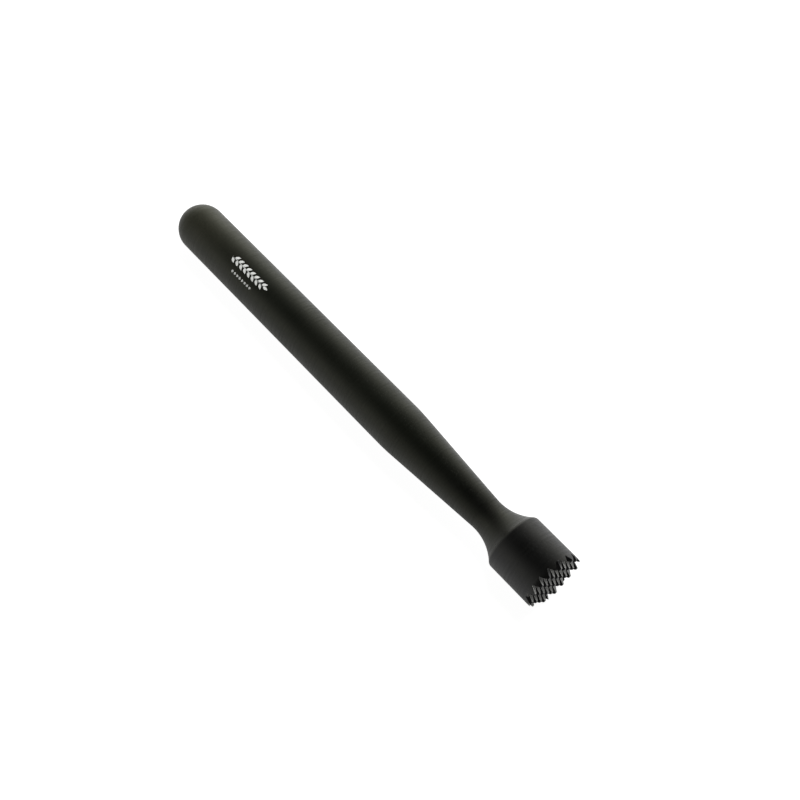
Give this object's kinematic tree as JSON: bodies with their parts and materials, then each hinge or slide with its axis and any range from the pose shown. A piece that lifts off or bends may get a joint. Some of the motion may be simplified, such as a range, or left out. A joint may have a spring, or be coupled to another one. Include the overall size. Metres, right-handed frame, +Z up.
{
  "type": "muddler",
  "caption": "Black bar muddler with a round-ended tapered handle and a toothed crushing head, lying on its side.",
  "frame": {"origin": "centre of the base of the lying muddler, on the surface that it rests on", "axes": "+Z up, +X along the muddler from the domed butt to the teeth"},
  "size_m": [0.305, 0.0334, 0.0337],
  "materials": {
    "handle_plastic": "satin black, faint turning lines",
    "head_plastic": "satin black, smoother on the cut flanks of the teeth",
    "stud_steel": "plain zinc-plated steel"
  },
  "bodies": {
    "root": {"handle": "handle_plastic", "toothed_head": "head_plastic", "joining_stud": "stud_steel"}
  },
  "joints": []
}
